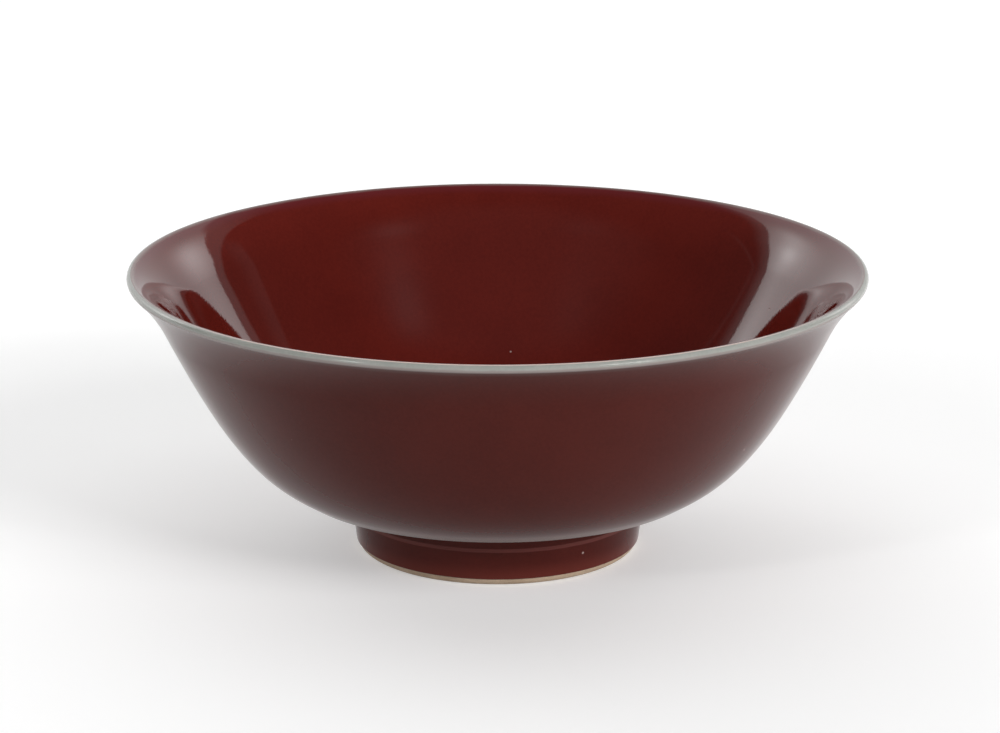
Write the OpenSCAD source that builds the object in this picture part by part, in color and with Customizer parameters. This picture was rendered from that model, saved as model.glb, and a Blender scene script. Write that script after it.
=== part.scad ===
// Porcelain bowl with a turned-out lip on a tall foot ring.
// A white porcelain body carries a red glaze inside and outside, a pale glaze round the lip
// and a clear glaze in the hollow of the foot. The foot stands on a bare porcelain edge.
// Every piece is turned about Z. The origin is on that axis, on the table.
// Lengths are in millimetres. Slopes are in degrees from the horizontal.

/* [Bowl] */
// Diameter across the lip
rim_d = 200; // [170:1:240]
// Height from the table to the top of the lip
bowl_h = 78.4; // [66:0.1:96]
// Slope of the thrown curve over the foot
base_slope = 6; // [4:0.5:9]
// Slope of the nearly straight side
side_slope = 64; // [58:0.5:70]
// Slope of the turned-out lip on the outside
lip_slope = 43.5; // [36:0.5:52]
// Slope of the lip on the inside
lip_inner_slope = 25; // [18:0.5:32]
// Radius of the outward turn below the lip
flare_r = 41; // [25:1:55]
// Fullness of the belly towards the foot
base_fullness = 0.82; // [0.65:0.01:0.9]
// Fullness of the belly towards the side
side_fullness = 0.8; // [0.65:0.01:0.9]
// Slope of the belly where it runs out to the turned edge over the foot
edge_slope = 32; // [28:0.5:38]
// Length of that straight run down to the edge
edge_run = 4.1; // [2:0.1:5]
// Rounding of the edge
edge_r = 2; // [1:0.1:4]

/* [Wall thickness, glaze included] */
// At the lip
lip_t = 2.4; // [1.8:0.1:2.8]
// At the foot of the flare
side_t = 4.4; // [3.8:0.1:5]
// Over the foot ring
base_t = 7; // [5.5:0.1:9]

/* [Foot ring] */
// Diameter of the glazed foot at the table
foot_d = 77.4; // [62:0.2:94]
// Height of the glazed foot up to the wall
foot_h = 14.5; // [10:0.1:18]
// How much the foot draws in from the wall down to the table, on the radius
foot_taper = 1.8; // [0:0.1:3]
// Width of the ring at the table
foot_w = 5.2; // [4.3:0.1:8]
// How much the ring thickens inwards up to the wall
foot_lean = 1.2; // [0:0.1:2.5]
// Rounding of the bare edge on its outer side
foot_edge_r = 1.9; // [1:0.1:2.4]
// Rounding of the bare edge on its inner side
foot_inner_edge_r = 1.4; // [0.6:0.1:1.6]

/* [Glaze] */
// Thickness of the red glaze
red_t = 0.5; // [0.3:0.05:0.8]
// Thickness of the glaze where it thins out on the lip
lip_glaze_t = 0.3; // [0.2:0.05:0.4]
// Thickness of the clear glaze in the hollow of the foot
clear_t = 0.3; // [0.2:0.05:0.5]
// How far the pale glaze wraps round the lip from its outer side, in degrees
lip_wrap = 130; // [90:5:140]
// Radius of the red glaze that pools between the wall and the foot
pool_r = 4; // [1:0.1:5]
// Radius of the clear glaze that pools in the corner of the hollow foot
hollow_pool_r = 1.5; // [0.8:0.1:3]
// Bare porcelain left between the rounded edge and the glaze
bare_h = 0.1; // [0.1:0.1:1]

/* [Hidden] */

porcelain_colour = "#d9d2c4";
biscuit_colour = "#a48c7a";
red_colour = "#561b19";
lip_colour = "#9d9e97";
clear_colour = "#d4d6cf";

$fn = 128;
belly_steps = 24;
flare_steps = 12;
lip_steps = 12;
floor_steps = 10;
corner_steps = 6;

// Direction along the profile at a slope, and the direction that points out of the wall there
function along(slope) = [cos(slope), sin(slope)];
function outward(slope) = [sin(slope), -cos(slope)];
function unit(v) = v / norm(v);
function ease(x) = x * x * (3 - 2 * x);
function mix(a, b, x) = a + (b - a) * x;
function shorter_turn(a) = a > 180 ? a - 360 : a < -180 ? a + 360 : a;

// Corner of two faces with outward directions a and b, moved in below both by a depth
function inner_corner(corner, a, b, depth) = corner - depth * (a + b) / (1 + a * b);

// Arc that rounds the corner b between the lines to a and to c
function rounded(a, b, c, r) =
    let (
        u = unit(a - b),
        v = unit(c - b),
        half = acos(u * v) / 2,
        reach = r / tan(half),
        centre = b + unit(u + v) * r / sin(half),
        first = b + u * reach - centre,
        last = b + v * reach - centre,
        start = atan2(first[1], first[0]),
        turn = shorter_turn(atan2(last[1], last[0]) - start)
    )
    [for (i = [0 : corner_steps])
        let (angle = start + turn * i / corner_steps)
        centre + r * [cos(angle), sin(angle)]];

// The thrown curve: a belly from the foot, then the flare, then the round lip
lip_r = lip_t / 2;
lip_centre = [rim_d / 2 - lip_r, bowl_h - lip_r];
flare_centre = lip_centre + (lip_r + flare_r) * outward(lip_slope);
flare_start = flare_centre - flare_r * outward(side_slope);
foot_toe = [foot_d / 2, 0];
wall_start = [foot_d / 2 + foot_taper, foot_h];
belly_corner = wall_start + along(base_slope)
    * cross(flare_start - wall_start, along(side_slope)) / cross(along(base_slope), along(side_slope));
base_handle = mix(wall_start, belly_corner, base_fullness);
side_handle = mix(flare_start, belly_corner, side_fullness);

function belly_point(u) =
    (1 - u) ^ 3 * wall_start + 3 * u * (1 - u) ^ 2 * base_handle
    + 3 * u ^ 2 * (1 - u) * side_handle + u ^ 3 * flare_start;
function belly_run(u) =
    (1 - u) ^ 2 * (base_handle - wall_start) + 2 * u * (1 - u) * (side_handle - base_handle)
    + u ^ 2 * (flare_start - side_handle);
function belly_slope(u) = let (run = belly_run(u)) atan2(run[1], run[0]);

// Place on the belly that has a slope, found by halving
function belly_place(slope, low = 0, high = 1, halvings = 30) =
    let (middle = (low + high) / 2)
    halvings == 0 ? middle
    : belly_slope(middle) < slope ? belly_place(slope, middle, high, halvings - 1)
    : belly_place(slope, low, middle, halvings - 1);

// The outside leaves the thrown curve here and runs straight down to the turned edge
edge_place = belly_place(edge_slope);
edge_corner = belly_point(edge_place) - edge_run * along(edge_slope);
underside = edge_corner - wall_start;
under_slope = atan2(underside[1], underside[0]);
edge_body = inner_corner(edge_corner, outward(under_slope), outward(edge_slope), red_t);

// The wall thins slowly up the flare, then quickly, so that its inside runs smoothly into the lip
lip_fall = lip_slope - lip_inner_slope;
lip_wall = lip_r * (1 + 1 / cos(lip_fall));
inner_flare = (flare_r + lip_wall) * (side_slope - lip_slope) * PI / 180;
late_thinning = (tan(lip_fall) * inner_flare / (side_t - lip_wall) - 1) / 4;
function flare_wall(x) = mix(side_t, lip_wall, mix(x, x ^ 5, late_thinning));

// Stations up the wall: point on the thrown curve, slope, wall thickness, glaze thickness
function belly_station(u) = [belly_point(u), belly_slope(u), mix(base_t, side_t, u ^ 2), red_t];
flare_stations = [for (i = [1 : flare_steps])
    let (x = i / flare_steps, slope = mix(side_slope, lip_slope, x))
    [flare_centre - flare_r * outward(slope), slope,
        flare_wall(x), mix(red_t, lip_glaze_t, ease(x))]];
outer_stations = concat(
    [for (i = [0 : belly_steps]) belly_station(mix(edge_place, 1, i / belly_steps))], flare_stations);
inner_stations = concat(
    [for (i = [0 : belly_steps]) belly_station(i / belly_steps)], flare_stations);
top = belly_steps + flare_steps;

// The four layers of the wall at a station, from the outside in
function at_depth(station, depth) = station[0] - depth * outward(station[1]);
function outer_skin(i) = at_depth(outer_stations[i], 0);
function outer_body(i) = at_depth(outer_stations[i], outer_stations[i][3]);
function inner_body(i) = at_depth(inner_stations[i], inner_stations[i][2] - inner_stations[i][3]);
function inner_skin(i) = at_depth(inner_stations[i], inner_stations[i][2]);

// Arc of the round lip, counted in degrees from its outer side
function lip_arc(r, from, to) = [for (i = [0 : lip_steps])
    lip_centre + r * outward(lip_slope + mix(from, to, i / lip_steps))];
lip_body_r = lip_r - lip_glaze_t;
lip_turn = 180 - lip_fall;

// The dished floor runs on from the wall without a kink and is level at the axis
floor_r = inner_body(0)[0] / sin(base_slope);
floor_centre_z = inner_body(0)[1] + floor_r * cos(base_slope);
function floor_arc(r) = [for (i = [floor_steps - 1 : -1 : 0])
    let (slope = base_slope * i / floor_steps)
    [r * sin(slope), floor_centre_z - r * cos(slope)]];

// The foot: its porcelain lies one glaze thickness inside the glazed side
foot_side = unit(wall_start - foot_toe);
foot_outward = [foot_side[1], -foot_side[0]];
seat = inner_corner(wall_start, outward(under_slope), foot_outward, red_t);
seat_z = seat[1];
function foot_skin(z) = foot_toe + foot_side * z / foot_side[1];
function foot_outer(z) = seat + foot_side * (z - seat_z) / foot_side[1];
function foot_inner(z) = [foot_outer(0)[0] - foot_w - foot_lean * z / seat_z, z];
red_stop_h = foot_edge_r + bare_h;
clear_stop_h = foot_inner_edge_r + bare_h;
glaze_roll_r = red_t / 2;
hollow_top_z = seat_z - clear_t;
function hollow_skin(z) = foot_inner(z) - [clear_t, 0];

function reversed(points) = [for (i = [len(points) - 1 : -1 : 0]) points[i]];

// Thrown porcelain: floor, belly, flare and lip, turned to an edge below and flat over the foot ring
module porcelain_wall() {
    color(porcelain_colour)
    rotate_extrude()
    polygon(concat(
        [[0, seat_z], foot_inner(seat_z), seat],
        rounded(seat, edge_body, outer_body(0), edge_r - red_t),
        [for (i = [0 : top - 1]) outer_body(i)],
        lip_arc(lip_body_r, 0, lip_wrap),
        lip_arc(lip_body_r, lip_wrap, lip_turn),
        [for (i = [top : -1 : 0]) inner_body(i)],
        floor_arc(floor_r)
    ));
}

// Turned foot ring, drawn in towards the table, with a bare rounded edge that it stands on
module foot_ring() {
    color(biscuit_colour)
    rotate_extrude()
    polygon(concat(
        [seat, foot_outer(red_stop_h)],
        rounded(foot_outer(seat_z), foot_outer(0), foot_inner(0), foot_edge_r),
        rounded(foot_outer(0), foot_inner(0), foot_inner(seat_z), foot_inner_edge_r),
        [foot_inner(clear_stop_h), foot_inner(seat_z)]
    ));
}

// Red glaze from under the lip down to a rolled edge near the table, pooled over the foot
module outer_red_glaze() {
    color(red_colour)
    rotate_extrude()
    polygon(concat(
        [for (i = [top : -1 : 0]) outer_skin(i)],
        rounded(outer_skin(0), edge_corner, wall_start, edge_r),
        rounded(edge_corner, wall_start, foot_toe, pool_r),
        rounded(wall_start, foot_skin(red_stop_h), foot_outer(red_stop_h), glaze_roll_r),
        [foot_outer(red_stop_h), seat],
        rounded(seat, edge_body, outer_body(0), edge_r - red_t),
        [for (i = [0 : top]) outer_body(i)]
    ));
}

// Red glaze over the whole inside, up to the inner side of the lip
module inner_red_glaze() {
    color(red_colour)
    rotate_extrude()
    polygon(concat(
        lip_arc(lip_r, lip_wrap, lip_turn),
        [for (i = [top : -1 : 0]) inner_skin(i)],
        floor_arc(floor_r - red_t),
        reversed(floor_arc(floor_r)),
        [for (i = [0 : top]) inner_body(i)],
        reversed(lip_arc(lip_body_r, lip_wrap, lip_turn))
    ));
}

// Pale glaze that has run thin round the lip
module lip_glaze() {
    color(lip_colour)
    rotate_extrude()
    polygon(concat(
        lip_arc(lip_r, 0, lip_wrap),
        reversed(lip_arc(lip_body_r, 0, lip_wrap))
    ));
}

// Clear glaze over the underside of the floor and down the inner side of the foot ring
module foot_hollow_glaze() {
    color(clear_colour)
    rotate_extrude()
    polygon(concat(
        [[0, seat_z], foot_inner(seat_z), foot_inner(clear_stop_h), hollow_skin(clear_stop_h)],
        rounded(hollow_skin(0), hollow_skin(hollow_top_z), [0, hollow_top_z], hollow_pool_r),
        [[0, hollow_top_z]]
    ));
}

porcelain_wall();
foot_ring();
outer_red_glaze();
inner_red_glaze();
lip_glaze();
foot_hollow_glaze();
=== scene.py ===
from collections import namedtuple
from math import acos, atan2, cos, pi, radians, sin, tan

import bmesh
import bpy
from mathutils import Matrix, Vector


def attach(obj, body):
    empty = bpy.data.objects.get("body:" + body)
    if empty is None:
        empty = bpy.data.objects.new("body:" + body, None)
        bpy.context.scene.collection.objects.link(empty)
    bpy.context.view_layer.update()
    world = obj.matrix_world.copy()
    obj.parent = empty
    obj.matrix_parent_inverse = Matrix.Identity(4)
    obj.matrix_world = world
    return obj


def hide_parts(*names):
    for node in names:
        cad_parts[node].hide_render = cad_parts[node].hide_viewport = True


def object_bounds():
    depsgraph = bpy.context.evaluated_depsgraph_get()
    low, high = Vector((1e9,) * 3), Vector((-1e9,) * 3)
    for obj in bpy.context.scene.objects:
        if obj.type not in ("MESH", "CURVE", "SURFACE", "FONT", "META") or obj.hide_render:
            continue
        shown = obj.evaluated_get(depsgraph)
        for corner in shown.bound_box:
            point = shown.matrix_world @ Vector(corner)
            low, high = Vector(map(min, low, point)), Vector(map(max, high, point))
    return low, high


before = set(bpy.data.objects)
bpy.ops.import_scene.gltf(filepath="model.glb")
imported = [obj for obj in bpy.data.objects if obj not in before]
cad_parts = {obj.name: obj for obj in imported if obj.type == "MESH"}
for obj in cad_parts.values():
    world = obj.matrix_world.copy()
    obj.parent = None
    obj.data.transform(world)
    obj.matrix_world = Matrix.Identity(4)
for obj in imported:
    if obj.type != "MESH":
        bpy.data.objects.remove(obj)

cad_low, cad_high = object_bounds()

# Sizes of the bowl in metres, slopes in degrees from the horizontal
MM = 0.001
RIM_R = cad_high.x
BOWL_H = cad_high.z
BASE_SLOPE = 6
SIDE_SLOPE = 64
LIP_SLOPE = 43.5
LIP_INNER_SLOPE = 25
FLARE_R = 41 * MM
BASE_FULLNESS = 0.82
SIDE_FULLNESS = 0.8
LIP_T = 2.4 * MM
SIDE_T = 4.4 * MM
BASE_T = 7 * MM
EDGE_SLOPE = 32
EDGE_RUN = 4.1 * MM
EDGE_R = 2 * MM
FOOT_R = 38.7 * MM
FOOT_H = 14.5 * MM
FOOT_TAPER = 1.8 * MM
FOOT_W = 5.2 * MM
FOOT_LEAN = 1.2 * MM
FOOT_EDGE_R = 1.9 * MM
FOOT_INNER_EDGE_R = 1.4 * MM
RED_T = 0.5 * MM
LIP_GLAZE_T = 0.3 * MM
CLEAR_T = 0.3 * MM
LIP_WRAP = 130
POOL_R = 4 * MM
HOLLOW_POOL_R = 1.5 * MM
BARE_H = 0.1 * MM
POOL_STOP_H = 10.8 * MM
POOL_STOP_T = 0.1 * MM
POOL_STOP_ABOVE = 1.0 * MM
POOL_STOP_RISE = 0.9 * MM
POOL_STOP_BELOW = 0.4 * MM
POOL_STOP_FALL = 0.5 * MM
SKIN_FADE = 3 * MM

# Fineness of the turned meshes
SEGMENTS = 300
BELLY_STEPS = 70
FLARE_STEPS = 28
FLOOR_STEPS = 36
LIP_STEPS = 24
CORNER_STEPS = 10
EDGE_STEPS = 4
UNDER_STEPS = 10
FOOT_STEPS = 60
HOLLOW_STEPS = 20
HALVINGS = 30
SHARP_ANGLE = radians(40)
MERGE_DISTANCE = 0.001 * MM
AXIS_DISTANCE = 1e-6 * MM

# The photograph's frame and the camera that took it
IMAGE_W = 1000
FOCAL_PX = 3482.3
SENSOR_MM = 36
CAMERA_AT = Vector((0.00065, -0.9140, 0.3100))
CAMERA_PITCH = 15.887
CAMERA_NEAR = 10 * MM


def along(slope):
    return Vector((cos(radians(slope)), sin(radians(slope))))


def outward(slope):
    return Vector((sin(radians(slope)), -cos(radians(slope))))


def ease(x):
    return x * x * (3 - 2 * x)


def mix(a, b, x):
    return a + (b - a) * x


def rounded(a, b, c, r):
    """Arc of radius r that rounds the corner b between the lines to a and to c."""
    u = (a - b).normalized()
    v = (c - b).normalized()
    half = acos(u.dot(v)) / 2
    centre = b + (u + v).normalized() * r / sin(half)
    first = b + u * r / tan(half) - centre
    last = b + v * r / tan(half) - centre
    start = atan2(first.y, first.x)
    turn = (atan2(last.y, last.x) - start + pi) % (2 * pi) - pi
    angles = [start + turn * i / CORNER_STEPS for i in range(CORNER_STEPS + 1)]
    return [centre + r * Vector((cos(t), sin(t))) for t in angles]


# Outline of the wall: a belly curve from the foot, then the flare, then the round lip
LIP_R = LIP_T / 2
LIP_CENTRE = Vector((RIM_R - LIP_R, BOWL_H - LIP_R))
FLARE_CENTRE = LIP_CENTRE + (LIP_R + FLARE_R) * outward(LIP_SLOPE)
FLARE_START = FLARE_CENTRE - FLARE_R * outward(SIDE_SLOPE)
FOOT_TOE = Vector((FOOT_R, 0))
WALL_START = Vector((FOOT_R + FOOT_TAPER, FOOT_H))
BELLY_SPAN = FLARE_START - WALL_START
BELLY_REACH = BELLY_SPAN.cross(along(SIDE_SLOPE)) / along(BASE_SLOPE).cross(along(SIDE_SLOPE))
BELLY_CORNER = WALL_START + along(BASE_SLOPE) * BELLY_REACH
BASE_HANDLE = WALL_START.lerp(BELLY_CORNER, BASE_FULLNESS)
SIDE_HANDLE = FLARE_START.lerp(BELLY_CORNER, SIDE_FULLNESS)

# The wall thins slowly up the flare, then quickly, so that its inside runs smoothly into the lip
LIP_FALL = LIP_SLOPE - LIP_INNER_SLOPE
LIP_TURN = 180 - LIP_FALL
LIP_WALL = LIP_R * (1 + 1 / cos(radians(LIP_FALL)))
INNER_FLARE = (FLARE_R + LIP_WALL) * radians(SIDE_SLOPE - LIP_SLOPE)
THINNING_POWER = 5
LIP_THINNING = tan(radians(LIP_FALL)) * INNER_FLARE / (SIDE_T - LIP_WALL)
LATE_THINNING = (LIP_THINNING - 1) / (THINNING_POWER - 1)

Station = namedtuple("Station", "point slope wall glaze")


def belly_station(u):
    point = ((1 - u) ** 3 * WALL_START + 3 * u * (1 - u) ** 2 * BASE_HANDLE
             + 3 * u ** 2 * (1 - u) * SIDE_HANDLE + u ** 3 * FLARE_START)
    run = ((1 - u) ** 2 * (BASE_HANDLE - WALL_START) + 2 * u * (1 - u) * (SIDE_HANDLE - BASE_HANDLE)
           + u ** 2 * (FLARE_START - SIDE_HANDLE))
    return Station(point, atan2(run.y, run.x) * 180 / pi, mix(BASE_T, SIDE_T, u ** 2), RED_T)


def belly_place(slope):
    """Place on the belly that has a slope, found by halving."""
    low, high = 0.0, 1.0
    for _ in range(HALVINGS):
        middle = (low + high) / 2
        if belly_station(middle).slope < slope:
            low = middle
        else:
            high = middle
    return low


def flare_station(x):
    slope = mix(SIDE_SLOPE, LIP_SLOPE, x)
    point = FLARE_CENTRE - FLARE_R * outward(slope)
    wall = mix(SIDE_T, LIP_WALL, mix(x, x ** THINNING_POWER, LATE_THINNING))
    return Station(point, slope, wall, mix(RED_T, LIP_GLAZE_T, ease(x)))


def inner_corner(corner, a, b, depth):
    """Corner of two faces with outward directions a and b, moved in below both by a depth."""
    return corner - depth * (a + b) / (1 + a.dot(b))


EDGE_PLACE = belly_place(EDGE_SLOPE)
EDGE_CORNER = belly_station(EDGE_PLACE).point - EDGE_RUN * along(EDGE_SLOPE)
UNDER_SLOPE = atan2(EDGE_CORNER.y - WALL_START.y, EDGE_CORNER.x - WALL_START.x) * 180 / pi
EDGE_BODY = inner_corner(EDGE_CORNER, outward(UNDER_SLOPE), outward(EDGE_SLOPE), RED_T)

FLARE = [flare_station(i / FLARE_STEPS) for i in range(1, FLARE_STEPS + 1)]
BELLY_SHARES = [i / BELLY_STEPS for i in range(BELLY_STEPS + 1)]
OUTER_STATIONS = [belly_station(mix(EDGE_PLACE, 1, share)) for share in BELLY_SHARES] + FLARE
INNER_STATIONS = [belly_station(share) for share in BELLY_SHARES] + FLARE
OUTER_SKIN = [s.point for s in OUTER_STATIONS]
OUTER_BODY = [s.point - s.glaze * outward(s.slope) for s in OUTER_STATIONS]
INNER_BODY = [s.point - (s.wall - s.glaze) * outward(s.slope) for s in INNER_STATIONS]
INNER_SKIN = [s.point - s.wall * outward(s.slope) for s in INNER_STATIONS]

FLOOR_R = INNER_BODY[0].x / sin(radians(BASE_SLOPE))
FLOOR_CENTRE = Vector((0, INNER_BODY[0].y + FLOOR_R * cos(radians(BASE_SLOPE))))


def floor_arc(r):
    """The dished floor from the wall to the axis, without its first point."""
    slopes = [BASE_SLOPE * i / FLOOR_STEPS for i in range(FLOOR_STEPS - 1, -1, -1)]
    return [FLOOR_CENTRE + r * outward(slope) for slope in slopes]


def lip_arc(r, start, end):
    """Arc of the round lip, counted in degrees from its outer side."""
    turns = [mix(start, end, i / LIP_STEPS) for i in range(LIP_STEPS + 1)]
    return [LIP_CENTRE + r * outward(LIP_SLOPE + turn) for turn in turns]


FOOT_SIDE = (WALL_START - FOOT_TOE).normalized()
FOOT_OUTWARD = Vector((FOOT_SIDE.y, -FOOT_SIDE.x))
SEAT = inner_corner(WALL_START, outward(UNDER_SLOPE), FOOT_OUTWARD, RED_T)
RED_STOP = FOOT_EDGE_R + BARE_H
CLEAR_STOP = FOOT_INNER_EDGE_R + BARE_H
HOLLOW_TOP = SEAT.y - CLEAR_T


def foot_skin(z):
    return FOOT_TOE + FOOT_SIDE * z / FOOT_SIDE.y


def pooled_skin(z):
    """Side of the foot with the thicker edge at which the pooled glaze stops."""
    rise = (POOL_STOP_H + POOL_STOP_ABOVE - z) / POOL_STOP_RISE
    fall = (z - POOL_STOP_H + POOL_STOP_BELOW) / POOL_STOP_FALL
    return foot_skin(z) + FOOT_OUTWARD * POOL_STOP_T * ease(max(0.0, min(1.0, rise, fall)))


def foot_outer(z):
    return SEAT + FOOT_SIDE * (z - SEAT.y) / FOOT_SIDE.y


def foot_inner(z):
    return Vector((foot_outer(0).x - FOOT_W - FOOT_LEAN * z / SEAT.y, z))


def hollow_skin(z):
    return foot_inner(z) - Vector((CLEAR_T, 0))


def steps(a, b, count):
    return [a.lerp(b, i / count) for i in range(count + 1)]


# Small helpers for node trees
def add(tree, kind, inputs=None, **settings):
    made = tree.nodes.new(kind)
    for key, value in settings.items():
        setattr(made, key, value)
    for key, value in (inputs or {}).items():
        if isinstance(value, bpy.types.NodeSocket):
            tree.links.new(value, made.inputs[key])
        else:
            made.inputs[key].default_value = value
    return made


def maths(tree, operation, a, b=0.0):
    return add(tree, "ShaderNodeMath", {0: a, 1: b}, operation=operation).outputs[0]


def blend_values(tree, factor, a, b):
    return add(tree, "ShaderNodeMix", {0: factor, 2: a, 3: b}, data_type="FLOAT").outputs[0]


def blend_colours(tree, factor, a, b):
    return add(tree, "ShaderNodeMix", {0: factor, 6: a, 7: b}, data_type="RGBA").outputs[2]


def map_smoothly(tree, value, start, end, first=0.0, last=1.0):
    """Value that goes smoothly from first to last while another goes from start to end."""
    made = add(tree, "ShaderNodeMapRange", {0: value, 1: start, 2: end, 3: first, 4: last},
               interpolation_type="SMOOTHSTEP")
    return made.outputs[0]


def divided(tree, vector, size):
    return add(tree, "ShaderNodeVectorMath", {0: vector, 1: size}, operation="DIVIDE").outputs[0]


def sized_noise(tree, place, size, detail):
    """Noise whose clouds have a size in metres."""
    made = add(tree, "ShaderNodeTexNoise",
               {"Vector": divided(tree, place, size), "Scale": 1.0, "Detail": detail})
    return made.outputs[0]


def group_tree(name, kind, inputs, outputs):
    """New node group whose inputs and outputs map a name to a socket type and a default."""
    tree = bpy.data.node_groups.new(name, kind)
    for in_out, sockets in (("INPUT", inputs), ("OUTPUT", outputs)):
        for label, (socket_type, default) in sockets.items():
            socket = tree.interface.new_socket(label, in_out=in_out, socket_type=socket_type)
            if default is not None:
                socket.default_value = default
    return tree, tree.nodes.new("NodeGroupInput").outputs, tree.nodes.new("NodeGroupOutput").inputs


GEOMETRY = ("NodeSocketGeometry", None)
VECTOR = ("NodeSocketVector", None)


def build_turning_tree():
    """Turns an outline of points round Z into a closed mesh whose glazed skin ripples a little."""
    tree, given, result = group_tree("turned_piece", "GeometryNodeTree", {
        "Outline": GEOMETRY,
        "Segments": ("NodeSocketInt", SEGMENTS),
        "Ripple Depth": ("NodeSocketFloat", 0.0),
        "Ripple Size": ("NodeSocketFloat", 10 * MM),
        "Seed": ("NodeSocketFloat", 1.0),
        "Finish": ("NodeSocketMaterial", None),
    }, {"Piece": GEOMETRY})
    size = add(tree, "GeometryNodeAttributeDomainSize", {0: given["Outline"]}, component="MESH")
    count = size.outputs["Point Count"]
    columns = maths(tree, "ADD", given["Segments"], 1)
    grid = add(tree, "GeometryNodeMeshGrid", {"Vertices X": count, "Vertices Y": columns})
    index = add(tree, "GeometryNodeInputIndex").outputs[0]
    ring = maths(tree, "FLOOR", maths(tree, "DIVIDE", maths(tree, "ADD", index, 0.5), columns))
    column = maths(tree, "SUBTRACT", index, maths(tree, "MULTIPLY", ring, columns))
    angle = maths(tree, "DIVIDE", maths(tree, "MULTIPLY", column, 2 * pi), given["Segments"])
    outline_point = add(tree, "GeometryNodeInputPosition").outputs[0]
    place = add(tree, "GeometryNodeSampleIndex",
                {0: given["Outline"], "Value": outline_point, "Index": ring},
                data_type="FLOAT_VECTOR")
    turned = add(tree, "ShaderNodeVectorRotate", {"Vector": place.outputs[0], "Angle": angle},
                 rotation_type="Z_AXIS")
    placed = add(tree, "GeometryNodeSetPosition",
                 {"Geometry": grid.outputs[0], "Position": turned.outputs[0]})
    outline_skin = add(tree, "GeometryNodeInputNamedAttribute", {"Name": "skin"}, data_type="FLOAT")
    skin = add(tree, "GeometryNodeSampleIndex",
               {0: given["Outline"], "Value": outline_skin.outputs[0], "Index": ring},
               data_type="FLOAT")
    marked = add(tree, "GeometryNodeStoreNamedAttribute",
                 {"Geometry": placed.outputs[0], "Name": "skin", "Value": skin.outputs[0]},
                 data_type="FLOAT", domain="POINT")
    joined = add(tree, "GeometryNodeMergeByDistance",
                 {"Geometry": marked.outputs[0], "Distance": MERGE_DISTANCE})
    position = add(tree, "GeometryNodeInputPosition").outputs[0]
    ripple_place = divided(tree, position, given["Ripple Size"])
    ripple = add(tree, "ShaderNodeTexNoise",
                 {"Vector": ripple_place, "W": given["Seed"], "Scale": 1.0, "Detail": 1.0},
                 noise_dimensions="4D").outputs[0]
    weight = add(tree, "GeometryNodeInputNamedAttribute", {"Name": "skin"}, data_type="FLOAT")
    depth = maths(tree, "MULTIPLY", weight.outputs[0], given["Ripple Depth"])
    lift = maths(tree, "MULTIPLY", maths(tree, "SUBTRACT", ripple, 0.5), depth)
    normal = add(tree, "GeometryNodeInputNormal").outputs[0]
    offset = add(tree, "ShaderNodeVectorMath", {0: normal, "Scale": lift}, operation="SCALE")
    rippled = add(tree, "GeometryNodeSetPosition",
                  {"Geometry": joined.outputs[0], "Offset": offset.outputs[0]})
    smooth = add(tree, "GeometryNodeSetShadeSmooth", {0: rippled.outputs[0]})
    real = add(tree, "GeometryNodeRealizeInstances", {0: smooth.outputs[0]})
    finished = add(tree, "GeometryNodeSetMaterial",
                   {0: real.outputs[0], "Material": given["Finish"]})
    tree.links.new(finished.outputs[0], result["Piece"])
    return tree


turning_tree = build_turning_tree()


def skin_weights(points):
    """Share of the ripple at each point of a skin: none at its ends, where it meets its neighbours."""
    runs = [0.0]
    for a, b in zip(points, points[1:]):
        runs.append(runs[-1] + (b - a).length)
    return [ease(min(1.0, run / SKIN_FADE, (runs[-1] - run) / SKIN_FADE)) for run in runs]


def turn(name, skin, back, finish, slot, ripple_depth=0.0, ripple_size=10 * MM, seed=1.0):
    """Makes one piece from the points of its visible skin and of its hidden side."""
    outline = skin + back
    weights = skin_weights(skin) + [0.0] * len(back)
    if min(point.x for point in outline) > AXIS_DISTANCE:
        outline = outline + outline[:1]
        weights = weights + weights[:1]
    mesh = bpy.data.meshes.new(name)
    mesh.from_pydata([(point.x, 0, point.y) for point in outline], [], [])
    mesh.attributes.new("skin", "FLOAT", "POINT").data.foreach_set("value", weights)
    piece = bpy.data.objects.new(name, mesh)
    bpy.context.scene.collection.objects.link(piece)
    modifier = piece.modifiers.new("turning", "NODES")
    modifier.node_group = turning_tree
    values = {"Segments": SEGMENTS, "Ripple Depth": ripple_depth, "Ripple Size": ripple_size,
              "Seed": seed, "Finish": finish}
    for socket in turning_tree.interface.items_tree:
        if socket.name in values:
            modifier[socket.identifier] = values[socket.name]
    depsgraph = bpy.context.evaluated_depsgraph_get()
    evaluated = piece.evaluated_get(depsgraph)
    piece.data = bpy.data.meshes.new_from_object(evaluated, depsgraph=depsgraph)
    piece.modifiers.clear()
    shell = bmesh.new()
    shell.from_mesh(piece.data)
    bmesh.ops.recalc_face_normals(shell, faces=shell.faces)
    shell.to_mesh(piece.data)
    shell.free()
    piece.data.set_sharp_from_angle(angle=SHARP_ANGLE)
    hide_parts(slot_nodes[slot])
    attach(piece, "root")
    return piece


# Shared effects of the fired surfaces
PINHOLE_CORE = 0.4
PINHOLE_DEPTH = 0.05 * MM


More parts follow.
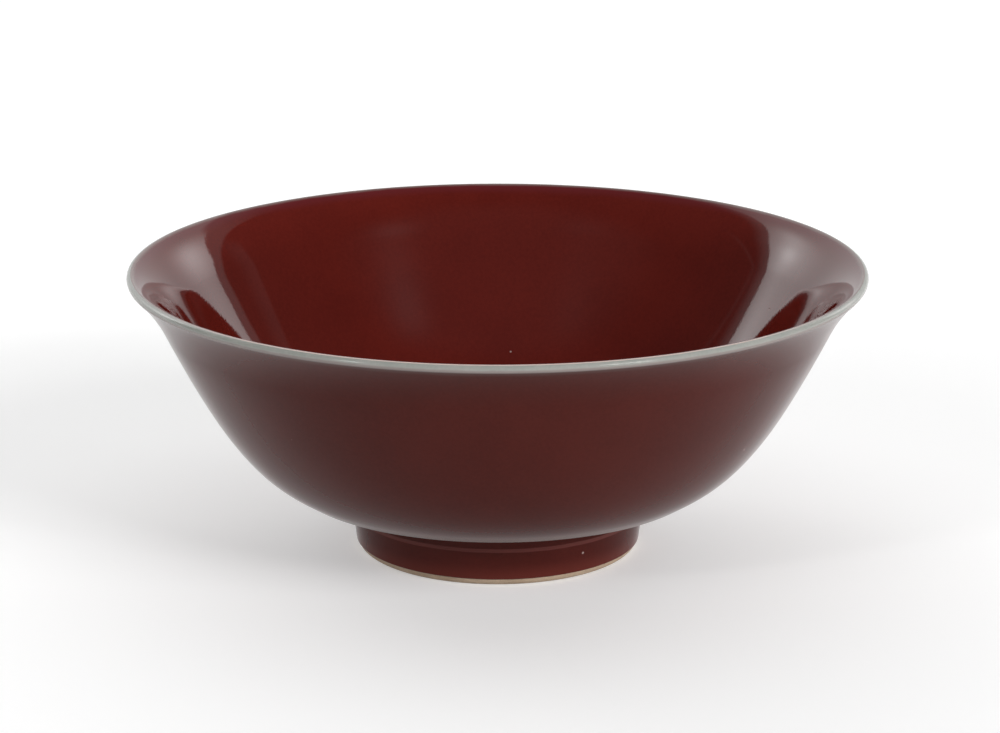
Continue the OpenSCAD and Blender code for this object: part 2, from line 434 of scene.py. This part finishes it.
def build_mottle_group():
    """Colour that drifts between a thin and a thick coat, in clouds and in fine flecks."""
    tree, given, result = group_tree("glaze_mottle", "ShaderNodeTree", {
        "Coordinates": VECTOR,
        "Thin Colour": ("NodeSocketColor", (1, 1, 1, 1)),
        "Thick Colour": ("NodeSocketColor", (0, 0, 0, 1)),
        "Cloud Size": ("NodeSocketFloat", 30 * MM),
        "Fleck Size": ("NodeSocketFloat", 1 * MM),
        "Fleck Share": ("NodeSocketFloat", 0.4),
    }, {"Colour": ("NodeSocketColor", None), "Thickness": ("NodeSocketFloat", None)})
    clouds = sized_noise(tree, given["Coordinates"], given["Cloud Size"], detail=3.0)
    flecks = sized_noise(tree, given["Coordinates"], given["Fleck Size"], detail=2.0)
    blended = blend_values(tree, given["Fleck Share"], clouds, flecks)
    thickness = map_smoothly(tree, blended, start=0.3, end=0.7)
    colour = blend_colours(tree, thickness, given["Thin Colour"], given["Thick Colour"])
    tree.links.new(colour, result["Colour"])
    tree.links.new(thickness, result["Thickness"])
    return tree


def build_peel_group():
    """Height of the orange-peel skin of a fired glaze: fine dimples on a slower swell."""
    tree, given, result = group_tree("glaze_peel", "ShaderNodeTree", {
        "Coordinates": VECTOR,
        "Dimple Size": ("NodeSocketFloat", 1 * MM),
        "Swell Size": ("NodeSocketFloat", 6 * MM),
        "Swell Share": ("NodeSocketFloat", 0.5),
    }, {"Height": ("NodeSocketFloat", None)})
    dimples = sized_noise(tree, given["Coordinates"], given["Dimple Size"], detail=1.0)
    swell = sized_noise(tree, given["Coordinates"], given["Swell Size"], detail=1.0)
    height = blend_values(tree, given["Swell Share"], dimples, swell)
    tree.links.new(height, result["Height"])
    return tree


def build_pinhole_group():
    """Mask of scattered pinholes and specks, of random size."""
    tree, given, result = group_tree("pinholes", "ShaderNodeTree", {
        "Coordinates": VECTOR,
        "Spacing": ("NodeSocketFloat", 15 * MM),
        "Radius": ("NodeSocketFloat", 0.4 * MM),
    }, {"Mask": ("NodeSocketFloat", None)})
    scaled = divided(tree, given["Coordinates"], given["Spacing"])
    cells = add(tree, "ShaderNodeTexVoronoi", {"Vector": scaled, "Scale": 1.0})
    away = maths(tree, "MULTIPLY", cells.outputs["Distance"], given["Spacing"])
    core = maths(tree, "MULTIPLY", given["Radius"], PINHOLE_CORE)
    tree.links.new(map_smoothly(tree, away, given["Radius"], core), result["Mask"])
    return tree


def build_height_group():
    """Mask that fades from 0 below a height to 1 above it, along a wandering line."""
    tree, given, result = group_tree("above_height", "ShaderNodeTree", {
        "Coordinates": VECTOR,
        "Low": ("NodeSocketFloat", 0.0),
        "High": ("NodeSocketFloat", 1 * MM),
        "Wander": ("NodeSocketFloat", 0.0),
        "Wander Size": ("NodeSocketFloat", 10 * MM),
    }, {"Mask": ("NodeSocketFloat", None)})
    height = add(tree, "ShaderNodeSeparateXYZ", {0: given["Coordinates"]}).outputs["Z"]
    drift = sized_noise(tree, given["Coordinates"], given["Wander Size"], detail=2.0)
    shift = maths(tree, "MULTIPLY", maths(tree, "SUBTRACT", drift, 0.5), given["Wander"])
    mask = map_smoothly(tree, maths(tree, "ADD", height, shift), given["Low"], given["High"])
    tree.links.new(mask, result["Mask"])
    return tree


mottle_group = build_mottle_group()
peel_group = build_peel_group()
pinhole_group = build_pinhole_group()
height_group = build_height_group()


class Finish:
    """A new material with its Principled shader and the piece's own coordinates."""

    def __init__(self, name, ior, roughness):
        self.material = bpy.data.materials.new(name)
        self.material.use_nodes = True
        self.tree = self.material.node_tree
        self.shader = self.tree.nodes["Principled BSDF"]
        self.shader.inputs["IOR"].default_value = ior
        self.shader.inputs["Roughness"].default_value = roughness
        self.place = add(self.tree, "ShaderNodeTexCoord").outputs["Object"]

    def effect(self, group, output, **values):
        made = add(self.tree, "ShaderNodeGroup", node_tree=group)
        self.tree.links.new(self.place, made.inputs["Coordinates"])
        for label, value in values.items():
            key = label.replace("_", " ").title()
            if isinstance(value, bpy.types.NodeSocket):
                self.tree.links.new(value, made.inputs[key])
            else:
                made.inputs[key].default_value = value
        return made.outputs[output]

    def between(self, low, high, soft, **values):
        """Mask of a band between two heights."""
        above = self.effect(height_group, "Mask", low=low, high=low + soft, **values)
        beyond = self.effect(height_group, "Mask", low=high, high=high + soft, **values)
        return maths(self.tree, "SUBTRACT", above, beyond)

    def over(self, mask, below, above):
        return blend_colours(self.tree, mask, below, above)

    def colour(self, socket):
        self.tree.links.new(socket, self.shader.inputs["Base Color"])

    def roughness(self, mask, low, high):
        spread = add(self.tree, "ShaderNodeMapRange", {0: mask, 3: low, 4: high})
        self.tree.links.new(spread.outputs[0], self.shader.inputs["Roughness"])

    def relief(self, height, depth, under=None):
        inputs = {"Height": height, "Distance": depth, "Strength": 1.0}
        if under is not None:
            inputs["Normal"] = under
        bump = add(self.tree, "ShaderNodeBump", inputs).outputs[0]
        self.tree.links.new(bump, self.shader.inputs["Normal"])
        return bump


def rgb(r, g, b):
    return (r, g, b, 1)


SPECK = rgb(0.42, 0.30, 0.27)


def red_glaze(name, ior, thin, thick, gloss, dimple, depth, swell):
    finish = Finish(name, ior, gloss[0])
    mottled = finish.effect(mottle_group, "Colour", thin_colour=thin, thick_colour=thick,
                            cloud_size=22 * MM, fleck_size=0.9 * MM, fleck_share=0.45)
    holes = finish.effect(pinhole_group, "Mask", spacing=14 * MM, radius=0.45 * MM)
    peel = finish.effect(peel_group, "Height", dimple_size=dimple, swell_size=7 * MM,
                         swell_share=swell)
    skin = finish.relief(peel, depth)
    finish.relief(holes, -PINHOLE_DEPTH, skin)
    thickness = finish.effect(mottle_group, "Thickness", cloud_size=9 * MM, fleck_size=0.7 * MM)
    finish.roughness(thickness, *gloss)
    return finish, finish.over(holes, mottled, SPECK)


def outer_red():
    finish, red = red_glaze("outer_red", ior=1.2,
                            thin=rgb(0.0745, 0.0109, 0.0074), thick=rgb(0.0610, 0.0086, 0.0057),
                            gloss=(0.11, 0.15), dimple=1.1 * MM, depth=0.012 * MM, swell=0.55)
    thin_edge = finish.effect(height_group, "Mask", wander=0.5 * MM, wander_size=9 * MM,
                              low=LIP_CENTRE.y - 2.2 * MM, high=LIP_CENTRE.y - 0.8 * MM)
    # Band at the pooled glaze's stop, painted a lighter red: partly the thick glaze at its edge,
    # partly a painted highlight for the bright line mirrored there
    pool_stop_and_highlight = finish.between(POOL_STOP_H - 1.1 * MM, POOL_STOP_H, 0.3 * MM, wander=0.3 * MM)
    # The lowest 5 mm of red above the bare toe is painted a lighter red: painted light where the front
    # lamps reach the foot under the belly
    above_lit_toe = finish.effect(height_group, "Mask", low=RED_STOP, high=RED_STOP + 5 * MM)
    red = finish.over(pool_stop_and_highlight, red, rgb(0.125, 0.033, 0.028))
    red = finish.over(above_lit_toe, rgb(0.106, 0.019, 0.0135), red)
    finish.colour(finish.over(thin_edge, red, rgb(0.085, 0.038, 0.033)))
    return finish.material


def inner_red():
    finish, red = red_glaze("inner_red", ior=1.5,
                            thin=rgb(0.113, 0.0100, 0.0061), thick=rgb(0.091, 0.0076, 0.0047),
                            gloss=(0.02, 0.05), dimple=0.7 * MM, depth=0.009 * MM, swell=0.5)
    veil = finish.effect(height_group, "Mask", low=BOWL_H - 2.5 * MM, high=BOWL_H - 0.4 * MM,
                         wander=0.8 * MM, wander_size=12 * MM)
    thin_edge = finish.effect(height_group, "Mask", low=BOWL_H - 0.55 * MM, high=BOWL_H + 0.1 * MM,
                              wander=0.3 * MM, wander_size=9 * MM)
    red = finish.over(veil, red, rgb(0.108, 0.0125, 0.0145))
    finish.colour(finish.over(thin_edge, red, rgb(0.22, 0.16, 0.15)))
    return finish.material


def pale_lip():
    finish = Finish("pale_lip", ior=1.5, roughness=0.13)
    mottled = finish.effect(mottle_group, "Colour", cloud_size=6 * MM, fleck_size=0.8 * MM,
                            thin_colour=rgb(0.345, 0.342, 0.317),
                            thick_colour=rgb(0.296, 0.310, 0.284))
    upper = finish.effect(height_group, "Mask", wander=0.3 * MM, wander_size=5 * MM,
                          low=LIP_CENTRE.y - 0.3 * MM, high=LIP_CENTRE.y + 0.3 * MM)
    crest = finish.effect(height_group, "Mask", low=BOWL_H - 0.15 * MM, high=BOWL_H)
    # The hem at the bottom of the lip coat is painted dark grey: the edge where the red glaze starts,
    # with a painted shadow line under the lip's bead
    hem = finish.effect(height_group, "Mask",
                        low=LIP_CENTRE.y - 0.85 * MM, high=LIP_CENTRE.y - 0.45 * MM)
    lower = finish.over(hem, rgb(0.120, 0.078, 0.073), rgb(0.250, 0.210, 0.197))
    glazed = finish.over(upper, lower, mottled)
    # A warm pale line is painted along the crest on the front of the bowl only: a painted highlight
    depth = add(finish.tree, "ShaderNodeSeparateXYZ", {0: finish.place}).outputs["Y"]
    front_highlight_side = add(finish.tree, "ShaderNodeMapRange", {0: depth, 1: -50 * MM, 2: -85 * MM})
    crest_highlight = maths(finish.tree, "MULTIPLY", crest, front_highlight_side.outputs[0])
    finish.colour(finish.over(crest_highlight, glazed, rgb(0.80, 0.57, 0.505)))
    peel = finish.effect(peel_group, "Height", dimple_size=1.2 * MM, swell_size=6 * MM)
    finish.relief(peel, 0.004 * MM)
    return finish.material


def biscuit():
    finish = Finish("biscuit", ior=1.45, roughness=0.75)
    mottled = finish.effect(mottle_group, "Colour", cloud_size=5 * MM, fleck_size=0.35 * MM,
                            thin_colour=rgb(0.485, 0.370, 0.268),
                            thick_colour=rgb(0.385, 0.286, 0.200))
    specks = finish.effect(pinhole_group, "Mask", spacing=5 * MM, radius=0.4 * MM)
    finish.colour(finish.over(specks, mottled, rgb(0.10, 0.07, 0.05)))
    grain = finish.effect(peel_group, "Height", dimple_size=0.25 * MM, swell_size=1.5 * MM)
    finish.relief(grain, 0.05 * MM)
    return finish.material


def clear_glaze():
    finish = Finish("clear_glaze", ior=1.5, roughness=0.08)
    mottled = finish.effect(mottle_group, "Colour", cloud_size=14 * MM, fleck_size=0.8 * MM,
                            thin_colour=rgb(0.66, 0.67, 0.62), thick_colour=rgb(0.55, 0.58, 0.54))
    specks = finish.effect(pinhole_group, "Mask", spacing=9 * MM, radius=0.35 * MM)
    finish.colour(finish.over(specks, mottled, rgb(0.22, 0.17, 0.13)))
    peel = finish.effect(peel_group, "Height", dimple_size=1.2 * MM, swell_size=7 * MM)
    finish.relief(peel, 0.012 * MM)
    return finish.material


def porcelain():
    finish = Finish("porcelain", ior=1.45, roughness=0.6)
    mottled = finish.effect(mottle_group, "Colour", cloud_size=10 * MM, fleck_size=0.5 * MM,
                            thin_colour=rgb(0.72, 0.68, 0.60), thick_colour=rgb(0.64, 0.60, 0.52))
    finish.colour(mottled)
    grain = finish.effect(peel_group, "Height", dimple_size=0.3 * MM, swell_size=2 * MM)
    finish.relief(grain, 0.03 * MM)
    return finish.material


# The pieces, each in the place of its node
slot_nodes = {
    "outer_red": "outer_red_glaze",
    "inner_red": "inner_red_glaze",
    "pale_lip": "lip_glaze",
    "biscuit": "foot_ring",
    "clear_glaze": "foot_hollow_glaze",
}
LIP_BODY_R = LIP_R - LIP_GLAZE_T

edge_round = rounded(OUTER_SKIN[0], EDGE_CORNER, WALL_START, EDGE_R)
pool_round = rounded(EDGE_CORNER, WALL_START, FOOT_TOE, POOL_R)
glaze_roll = rounded(WALL_START, foot_skin(RED_STOP), foot_outer(RED_STOP), RED_T / 2)
side_shares = [i / FOOT_STEPS for i in range(1, FOOT_STEPS)]
side_heights = [mix(pool_round[-1].y, glaze_roll[0].y, share) for share in side_shares]
turn("red_coat_outside",
     OUTER_SKIN[::-1] + steps(OUTER_SKIN[0], edge_round[0], EDGE_STEPS)[1:-1] + edge_round
     + steps(edge_round[-1], pool_round[0], UNDER_STEPS)[1:-1] + pool_round
     + [pooled_skin(z) for z in side_heights] + glaze_roll,
     [foot_outer(RED_STOP), SEAT]
     + rounded(SEAT, EDGE_BODY, OUTER_BODY[0], EDGE_R - RED_T) + OUTER_BODY,
     outer_red(), "outer_red", ripple_depth=0.06 * MM, ripple_size=16 * MM, seed=3.0)

turn("red_coat_inside",
     lip_arc(LIP_R, LIP_WRAP, LIP_TURN) + INNER_SKIN[::-1] + floor_arc(FLOOR_R - RED_T),
     floor_arc(FLOOR_R)[::-1] + INNER_BODY + lip_arc(LIP_BODY_R, LIP_WRAP, LIP_TURN)[::-1],
     inner_red(), "inner_red", ripple_depth=0.04 * MM, ripple_size=16 * MM, seed=8.0)

turn("pale_lip_coat",
     lip_arc(LIP_R, 0, LIP_WRAP), lip_arc(LIP_BODY_R, 0, LIP_WRAP)[::-1],
     pale_lip(), "pale_lip")

turn("foot_ring_turned",
     rounded(foot_outer(SEAT.y), foot_outer(0), foot_inner(0), FOOT_EDGE_R)
     + rounded(foot_outer(0), foot_inner(0), foot_inner(SEAT.y), FOOT_INNER_EDGE_R),
     [foot_inner(CLEAR_STOP), foot_inner(SEAT.y), SEAT, foot_outer(RED_STOP)],
     biscuit(), "biscuit")

hollow_middle = Vector((0, HOLLOW_TOP))
hollow_flat = hollow_skin(HOLLOW_TOP) - Vector((2 * HOLLOW_POOL_R, 0))
turn("clear_coat_in_foot",
     [hollow_skin(CLEAR_STOP)]
     + rounded(hollow_skin(0), hollow_skin(HOLLOW_TOP), hollow_middle, HOLLOW_POOL_R)
     + steps(hollow_flat, hollow_middle, HOLLOW_STEPS),
     [Vector((0, SEAT.y)), foot_inner(SEAT.y), foot_inner(CLEAR_STOP), hollow_skin(CLEAR_STOP)],
     clear_glaze(), "clear_glaze")

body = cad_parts["porcelain_wall"]
body.data.materials.clear()
body.data.materials.append(porcelain())

# The plain floor, lifted towards white where it is seen or mirrored
FLOOR_HALF = 6.0
FLOOR_LIFT = 0.3
FLOOR_COLOUR = rgb(0.82, 0.82, 0.82)
FLOOR_SHEEN = 0.1
FLOOR_CORNERS = ((-1, -1), (1, -1), (1, 1), (-1, 1))


def pale_floor():
    finish = Finish("pale_floor", ior=1.4, roughness=0.9)
    finish.shader.inputs["Base Color"].default_value = FLOOR_COLOUR
    finish.shader.inputs["Specular IOR Level"].default_value = FLOOR_SHEEN
    finish.shader.inputs["Emission Color"].default_value = rgb(1, 1, 1)
    ray = add(finish.tree, "ShaderNodeLightPath").outputs
    mirrored = maths(finish.tree, "MAXIMUM", ray["Is Glossy Ray"], ray["Is Transmission Ray"])
    seen = maths(finish.tree, "MAXIMUM", ray["Is Camera Ray"], mirrored)
    lift = maths(finish.tree, "MULTIPLY", seen, FLOOR_LIFT)
    finish.tree.links.new(lift, finish.shader.inputs["Emission Strength"])
    return finish.material


floor_mesh = bpy.data.meshes.new("floor")
floor_points = [(x * FLOOR_HALF, y * FLOOR_HALF, 0) for x, y in FLOOR_CORNERS]
floor_mesh.from_pydata(floor_points, [], [(0, 1, 2, 3)])
floor_mesh.materials.append(pale_floor())
floor = bpy.data.objects.new("floor", floor_mesh)
bpy.context.scene.collection.objects.link(floor)


# Soft studio light. Azimuths count from straight behind the bowl, towards the right
def direction(azimuth, elevation):
    a = radians(azimuth)
    e = radians(elevation)
    return Vector((sin(a) * cos(e), cos(a) * cos(e), sin(e)))


def soft_lamp(name, azimuth, elevation, angle, level):
    """Distant lamp of an apparent angle, with the level to which it lights a white surface."""
    lamp = bpy.data.lights.new(name, "SUN")
    lamp.angle = radians(angle)
    lamp.energy = level * pi
    holder = bpy.data.objects.new(name, lamp)
    holder.rotation_euler = direction(azimuth, elevation).to_track_quat("Z", "Y").to_euler()
    bpy.context.scene.collection.objects.link(holder)
    return holder


# Name, azimuth, elevation, angle and level of each lamp, and whether the glaze mirrors it
LAMPS = (
    ("front_key", -133, 27, 25, 0.155, False),
    ("front_key", 133, 27, 25, 0.43, False),
    ("front_bulb", -133, 25, 5, 0.10, True),
    ("front_bulb", 135, 25, 5, 0.075, True),
    ("front_bulb", 144, 25, 5, 0.065, True),
    ("low_side", 112, 1, 6, 0.33, False),
    ("top_fill", 0, 68, 90, 0.32, False),
)
for *lamp, is_mirrored in LAMPS:
    soft_lamp(*lamp).visible_glossy = is_mirrored

# Surroundings: a pale backdrop with a bright panel at each side, dim cards in front, dark elsewhere
world = bpy.data.worlds.new("studio")
bpy.context.scene.world = world
world.use_nodes = True
sky = world.node_tree
heading = add(sky, "ShaderNodeTexCoord").outputs["Generated"]
heading_parts = add(sky, "ShaderNodeSeparateXYZ", {0: heading})
sideways = heading_parts.outputs["X"]
ahead = heading_parts.outputs["Y"]
rise = heading_parts.outputs["Z"]


def product(a, b):
    return maths(sky, "MULTIPLY", a, b)


def total(*parts):
    result = parts[0]
    for part in parts[1:]:
        result = maths(sky, "ADD", result, part)
    return result


def fade(value, start, end, first, last):
    return map_smoothly(sky, value, start, end, first, last)


def rising(low, high, first, last):
    """Value that fades from first to last between two elevations."""
    return fade(rise, sin(radians(low)), sin(radians(high)), first, last)


def along_heading(toward):
    made = add(sky, "ShaderNodeVectorMath", {0: heading, 1: toward}, operation="DOT_PRODUCT")
    return made.outputs["Value"]


def glow(azimuth, elevation, spread, level):
    """Soft patch of light round a direction, with its spread in degrees."""
    facing = maths(sky, "MAXIMUM", along_heading(direction(azimuth, elevation)), 0.0)
    return product(maths(sky, "POWER", facing, 2 / radians(spread) ** 2), level)


def past_edge(low, high):
    """Sine of the angle by which a heading lies outside the edge that runs from low up to high."""
    across = direction(*low).cross(direction(*high)).normalized()
    return along_heading(across if across.y < 0 else -across)


# How far a heading lies past the edges of the panels, the right frame and strip, and the left line
past_right = maths(sky, "MAXIMUM", past_edge((53, 16), (51.2, 22.5)), past_edge((51, 23), (38, 36)))
past_left = maths(sky, "MAXIMUM", past_edge((-60, 19), (-55.9, 32)), past_edge((-52.4, 36), (-28, 51)))
past_frame = past_edge((57.5, 18), (52, 36))
past_strip = past_edge((74, 23), (64, 32))
past_line = past_edge((-66.5, 19), (-70.5, 36))

# The pale backdrop and the bright panels, cut off at the panels' edges and dimmer over the top
SOFT_EDGE = 0.008
open_back = fade(maths(sky, "MAXIMUM", past_right, past_left), -SOFT_EDGE, SOFT_EDGE, 1.0, 0.0)
over_top = total(rise, product(sideways, 0.25))
under_top = fade(over_top, 0.68, 0.72, 1.0, 0.42)
backdrop = product(fade(sideways, -0.4, 0.3, 0.95, 0.75), rising(38, 62, 1.0, 0.2))
right_panel = total(glow(39, 23, 7.5, 0.85), glow(46, 21, 12.5, 1.4))
left_panel = total(glow(-48, 24.5, 4.5, 1.35), glow(-49, 24, 14, 1.68),
                   glow(-41, 32, 6, 0.8), glow(-54, 19, 5, 0.6))
bright = product(product(total(backdrop, right_panel, left_panel), under_top), open_back)
dim = product(rising(3, 12, 0.5, 0.06), maths(sky, "SUBTRACT", 1.0, open_back))

# Faint light beside the panels, each on its own side and only behind the bowl
frame_light = product(fade(past_right, -SOFT_EDGE, SOFT_EDGE, 0.0, 0.30),
                      fade(past_frame, -0.015, 0.015, 1.0, 0.0))
far_strip = product(fade(past_strip, -0.16, -0.02, 0.0, 0.1),
                    fade(past_strip, -0.01, 0.015, 1.0, 0.0))
left_halo = product(fade(past_left, -SOFT_EDGE, SOFT_EDGE, 0.0, 1.0),
                    fade(past_left, 0.0, 0.12, 0.34, 0.0))
left_line = product(fade(past_line, -0.02, 0.0, 0.0, 0.07), fade(past_line, 0.0, 0.02, 1.0, 0.0))
right_edges = total(product(frame_light, rising(38, 56, 1.0, 0.0)),
                    product(far_strip, rising(29, 36, 1.0, 0.0)))
left_edges = total(product(left_halo, rising(42, 60, 1.0, 0.0)),
                   product(left_line, rising(36, 44, 1.0, 0.0)))
edges = product(total(product(right_edges, fade(sideways, 0.1, 0.25, 0.0, 1.0)),
                      product(left_edges, fade(sideways, -0.1, -0.25, 0.0, 1.0))),
                fade(ahead, 0.0, 0.15, 0.0, 1.0))

# The dim front with its two cards
front = fade(ahead, -0.2, -0.5, 0.0, 0.05)
cards = total(glow(133, 46, 7, 0.2), glow(-141, 48, 7, 0.05))
sky.links.new(total(bright, dim, edges, front, cards), sky.nodes["Background"].inputs["Color"])

camera_data = bpy.data.cameras.new("camera")
camera_data.sensor_fit = "HORIZONTAL"
camera_data.sensor_width = SENSOR_MM
camera_data.lens = SENSOR_MM * FOCAL_PX / IMAGE_W
camera_data.clip_start = CAMERA_NEAR
camera = bpy.data.objects.new("camera", camera_data)
camera.location = CAMERA_AT
camera.rotation_euler = (radians(90 - CAMERA_PITCH), 0, 0)
bpy.context.scene.collection.objects.link(camera)
bpy.context.scene.camera = camera

bpy.context.scene.view_settings.view_transform = "Standard"
